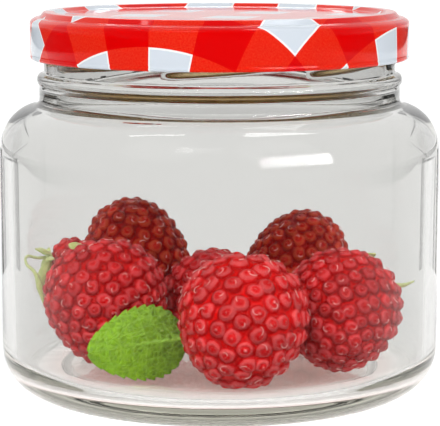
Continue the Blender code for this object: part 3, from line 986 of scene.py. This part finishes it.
# Stalks, in mm; each point has its place and its width
stalks = {
    "stalk_far_left": (
        (-41.0, 5.6, 27.4, 0.9), (-42.6, 4.2, 27.6, 0.7), (-45.4, 2.2, 28.0, 0.8), (-45.3, 1.6, 26.9, 0.8),
        (-42.8, 0.2, 24.9, 0.9), (-41.4, -0.6, 21.5, 1.9), (-40.4, -1.4, 17.5, 0.4),
    ),
    "stalk_right": ((33.2, 0.7, 25.8, 1.3), (37.5, -1.5, 23.4, 1.3), (41.0, -3.6, 22.6, 1.2), (44.6, -4.6, 23.8, 0.4)),
}


def makeStalk(node, places, green):
    curve = bpy.data.curves.new(node.replace("stalk", "stem"), "CURVE")
    curve.dimensions = "3D"
    curve.bevel_depth = 0.5 * mm
    curve.bevel_resolution = 3
    curve.use_fill_caps = True
    spline = curve.splines.new("BEZIER")
    spline.bezier_points.add(len(places) - 1)
    for knot, (x, y, z, width) in zip(spline.bezier_points, places):
        knot.co = Vector((x, y, z)) * mm
        knot.radius = width
        knot.handle_left_type = knot.handle_right_type = "AUTO"
    piece = bpy.data.objects.new(curve.name, curve)
    bpy.context.scene.collection.objects.link(piece)
    selectOnly(piece)
    bpy.ops.object.convert(target="MESH")
    tidyMesh(piece)
    piece.data.shade_smooth()
    piece.data.materials.append(green)
    mountPiece(piece, "sepal", node)


# Floor, light and camera

studio = {
    "floorReach": 3.0,      # m
    "floorGlow": 0.66,      # what the floor gives of itself, so that it stays white
    "mirrored": 1.12,       # brightness of the room in gloss and through glass, high up
    "mirroredLow": 0.86,    # and at the height of the horizon
    "behind": 0.6,          # and as light: straight back
    "front": 0.2,           # towards the camera
    "above": 0.5,
    "keys": {
        # degrees from the front and up, degrees wide, strength
        "keyLeft": (-36, 42, 38, 1.0),
        "keyRight": (36, 42, 38, 1.0),
    },
    "softboxes": {
        # place, aim and size in m, watts; these give highlights only
        "overheadRight": ((0.28, 0.0, 0.95), (0, 0, 0.04), (0.26, 0.34), 5.0),
        "overheadLeft": ((-0.3, 0.0, 0.95), (0, 0, 0.04), (0.07, 0.3), 1.2),
        "backHigh": ((0.0, 0.7, 0.72), (0, 0, 0.04), (0.6, 0.1), 2.4),
        "frontHigh": ((-0.12, -0.55, 0.62), (0, 0, 0.03), (0.28, 0.14), 2.2),
    },
    "cards": {
        # dark cards behind the jar, seen only through its edges: left, right and place behind, in mm
        "cardLeft": (-110, -92, 120),
        "cardRight": (94, 108, 120),
    },
    "cardHeight": 42,
    "flags": (0.42, 1.8, -0.7, 1.4),    # m, dark cloths on the floor at both sides, mirrored in the jar's sides
    "glowWithPaintedRed": ("ffd6ce", 0.030, 0.043),   # painted reflection: the berries' red painted as a pink glow on the paper, full and gone at these radii in m
    # a large window to the front right, mirrored on the jar's shoulder: place, aim and size in m, strength
    "window": ((0.54, -0.65, 0.36), (0.016, -0.047, 0.056), (0.6, 0.3), 95.0),
    "shield": (0.06, 0.1205, (0.15, 0.07)),     # m, from the axis towards the window, height, size
}

camera = {
    "distance": 432.5,      # mm in front of the jar's axis
    "height": 106.1,
    "pitch": 8.858,         # degrees down
    "lens": 156.85,
    "shift": 0.00114,
}


def makeFloor():
    bpy.ops.object.select_all(action="DESELECT")
    bpy.ops.mesh.primitive_circle_add(vertices=96, radius=studio["floorReach"], fill_type="NGON", location=(0, 0, 0))
    floor = bpy.context.object
    floor.name = "paleFloor"
    paper, shader = newMaterial("matWhitePaper", {"Roughness": 0.9, "Specular IOR Level": 0.2})
    place = addNode(paper, "ShaderNodeTexCoord")
    fibre = addNode(paper, "ShaderNodeTexNoise", {"Scale": 220.0}, {"Vector": place.outputs["Object"]})
    tone = addNode(paper, "ShaderNodeMix", {"data_type": "RGBA", 6: toLinear("b8b8b8"), 7: toLinear("bebebe")},
                   {0: fibre.outputs["Fac"]})
    plug(paper, tone.outputs[2], shader.inputs["Base Color"])
    # painted reflection: the paper under the jar glows pink, as if lit by light reflected off the red berries
    red, inside, outside = studio["glowWithPaintedRed"]
    away = addNode(paper, "ShaderNodeVectorMath", {"operation": "LENGTH"}, {0: place.outputs["Object"]})
    near = addNode(paper, "ShaderNodeMapRange", {1: inside, 2: outside, 3: 1.0, 4: 0.0}, {0: away.outputs["Value"]})
    glowWithPaintedRed = addNode(paper, "ShaderNodeMix", {"data_type": "RGBA", 6: (1.0, 1.0, 1.0, 1.0), 7: toLinear(red)},
                   {0: near.outputs[0]})
    plug(paper, glowWithPaintedRed.outputs[2], shader.inputs["Emission Color"])
    shader.inputs["Emission Strength"].default_value = studio["floorGlow"]
    floor.data.materials.append(paper)
    darkCloth, shader = newMaterial("darkCloth", {"Base Color": toLinear("101010"), "Roughness": 1.0})
    near, far, front, back = studio["flags"]
    for name, side in (("flagLeft", -1), ("flagRight", 1)):
        flag = layPlane(name, (far - near, back - front), (side * (near + far) / 2, (front + back) / 2, 0.002))
        flag.data.materials.append(darkCloth)


def layPlane(name, size, place, turn=(0, 0, 0)):
    # a card or cloth of the stage, seen only in gloss and through glass
    bpy.ops.object.select_all(action="DESELECT")
    bpy.ops.mesh.primitive_plane_add(size=1, location=(0, 0, 0), rotation=turn)
    plane = bpy.context.object
    plane.name = name
    plane.scale = (*size, 1)
    plane.location = place
    bpy.ops.object.transform_apply(location=True, rotation=True, scale=True)
    plane.visible_camera = False
    plane.visible_diffuse = False
    plane.visible_shadow = False
    return plane


def hangSoftbox(name, form):
    # a lit rectangle that gives highlights only
    place, aim, size, watts = form
    light = bpy.data.lights.new(name, "AREA")
    light.shape = "RECTANGLE"
    light.size, light.size_y = size
    light.energy = watts
    lamp = bpy.data.objects.new(name, light)
    bpy.context.scene.collection.objects.link(lamp)
    lamp.location = place
    lamp.rotation_mode = "QUATERNION"
    lamp.rotation_quaternion = (Vector(aim) - Vector(place)).to_track_quat("-Z", "Y")
    lamp.visible_camera = False
    lamp.visible_diffuse = False
    return lamp


def lightStudio():
    world = bpy.data.worlds.new("whiteStudio")
    bpy.context.scene.world = world
    world.use_nodes = True
    nodes = world.node_tree.nodes
    background = nodes["Background"]
    way = addNode(world, "ShaderNodeTexCoord")
    axes = addNode(world, "ShaderNodeSeparateXYZ", links={"Vector": way.outputs["Generated"]})
    # as light the room is brighter behind and above than in front
    depth = addNode(world, "ShaderNodeMapRange", {1: -0.2, 2: 0.9, 3: studio["front"], 4: studio["behind"]},
                    {0: axes.outputs["Y"]})
    height = addNode(world, "ShaderNodeMapRange", {1: 0.3, 2: 0.9, 3: 0.0, 4: studio["above"]},
                     {0: axes.outputs["Z"]})
    room = addNode(world, "ShaderNodeMath", {"operation": "MAXIMUM"}, {0: depth.outputs[0], 1: height.outputs[0]})
    # and an even white in gloss, through glass and behind everything
    path = addNode(world, "ShaderNodeLightPath")
    mirrored = addNode(world, "ShaderNodeMapRange",
                       {1: 0.1, 2: 0.4, 3: studio["mirroredLow"], 4: studio["mirrored"]}, {0: axes.outputs["Z"]})
    lit = addNode(world, "ShaderNodeMix", {"data_type": "RGBA"},
                  {0: path.outputs["Is Diffuse Ray"], 6: mirrored.outputs[0], 7: room.outputs[0]})
    seen = addNode(world, "ShaderNodeMix", {"data_type": "RGBA", 7: (1.0, 1.0, 1.0, 1.0)},
                   {0: path.outputs["Is Camera Ray"], 6: lit.outputs[2]})
    world.node_tree.links.new(seen.outputs[2], background.inputs["Color"])
    for name, (turn, lift, width, strength) in studio["keys"].items():
        light = bpy.data.lights.new(name, "SUN")
        light.angle = math.radians(width)
        light.energy = strength
        lamp = bpy.data.objects.new(name, light)
        bpy.context.scene.collection.objects.link(lamp)
        lamp.rotation_euler = (math.radians(90 - lift), 0, math.radians(turn))
    for name, form in studio["softboxes"].items():
        hangSoftbox(name, form)
    darkCard, shader = newMaterial("darkCard", {"Base Color": toLinear("1c1c1b"), "Roughness": 0.9})
    tall = studio["cardHeight"] * mm
    for name, (left, right, behind) in studio["cards"].items():
        middle = ((left + right) / 2 * mm, behind * mm, tall / 2)
        card = layPlane(name, ((right - left) * mm, tall), middle, (math.pi / 2, 0, 0))
        card.data.materials.append(darkCard)
    # the window's pane glows only in gloss: it lights nothing and isn't seen through the glass
    place, aim, size, strength = studio["window"]
    turn = (Vector(place) - Vector(aim)).to_track_quat("Z", "Y").to_euler()
    window = layPlane("window", size, place, turn)
    window.visible_transmission = False
    litPane, shader = newMaterial("litPane", {
        "Base Color": toLinear("000000"),
        "Emission Color": toLinear("ffffff"),
        "Emission Strength": strength,
    })
    litPane.cycles.emission_sampling = "NONE"
    window.data.materials.append(litPane)
    # a card as white as the room stands over the lid's edge and keeps the window off the lid's top
    away, lift, size = studio["shield"]
    ahead = Vector((place[0], place[1], 0)).normalized()
    shield = layPlane("shield", size, ahead * away + Vector((0, 0, lift)), ahead.to_track_quat("Z", "Y").to_euler())
    shield.visible_transmission = False
    whiteCard, _ = newMaterial("whiteCard", {
        "Base Color": toLinear("000000"),
        "Emission Color": toLinear("ffffff"),
        "Emission Strength": studio["mirroredLow"],
    })
    whiteCard.cycles.emission_sampling = "NONE"
    shield.data.materials.append(whiteCard)


def placeCamera():
    view = bpy.data.cameras.new("photoView")
    view.sensor_width = 36
    view.lens = camera["lens"]
    view.shift_x = camera["shift"]
    eye = bpy.data.objects.new("photoView", view)
    bpy.context.scene.collection.objects.link(eye)
    eye.location = (0, -camera["distance"] * mm, camera["height"] * mm)
    eye.rotation_euler = (math.pi / 2 - math.radians(camera["pitch"]), 0, 0)
    bpy.context.scene.camera = eye
    bpy.context.scene.view_settings.view_transform = "Standard"
    bpy.context.scene.cycles.glossy_bounces = 12    # light turns many times inside a thick glass base


def buildScene():
    makeJar(sodaLimeGlass("sodaLimeGlass", 0.0), sodaLimeGlass("stippledGlass", 0.5))
    makeLid(printedTinplate(), goldLacquer())
    flesh = {ripeAndShade: berryFlesh(ripeAndShade + "RaspberryFlesh", colours) for ripeAndShade, colours in ripenessAndPaintedShade.items()}
    style = driedStyle()
    drupelet = modelDrupelet()
    for node, form in berries.items():
        makeBerry(node, form, drupelet, flesh[form["ripeAndShade"]], style)
    bpy.data.objects.remove(drupelet)
    makeLeaf(mintLeafGreen())
    green = sepalGreen()
    sepal = modelSepal()
    for node, form in calyxes.items():
        makeCalyx(node, form, sepal, green)
    for node, form in singleSepals.items():
        makeSingleSepal(node, form, sepal, green)
    bpy.data.objects.remove(sepal)
    for node, places in stalks.items():
        makeStalk(node, places, green)
    makeFloor()
    lightStudio()
    placeCamera()
    print("scene built")


buildScene()
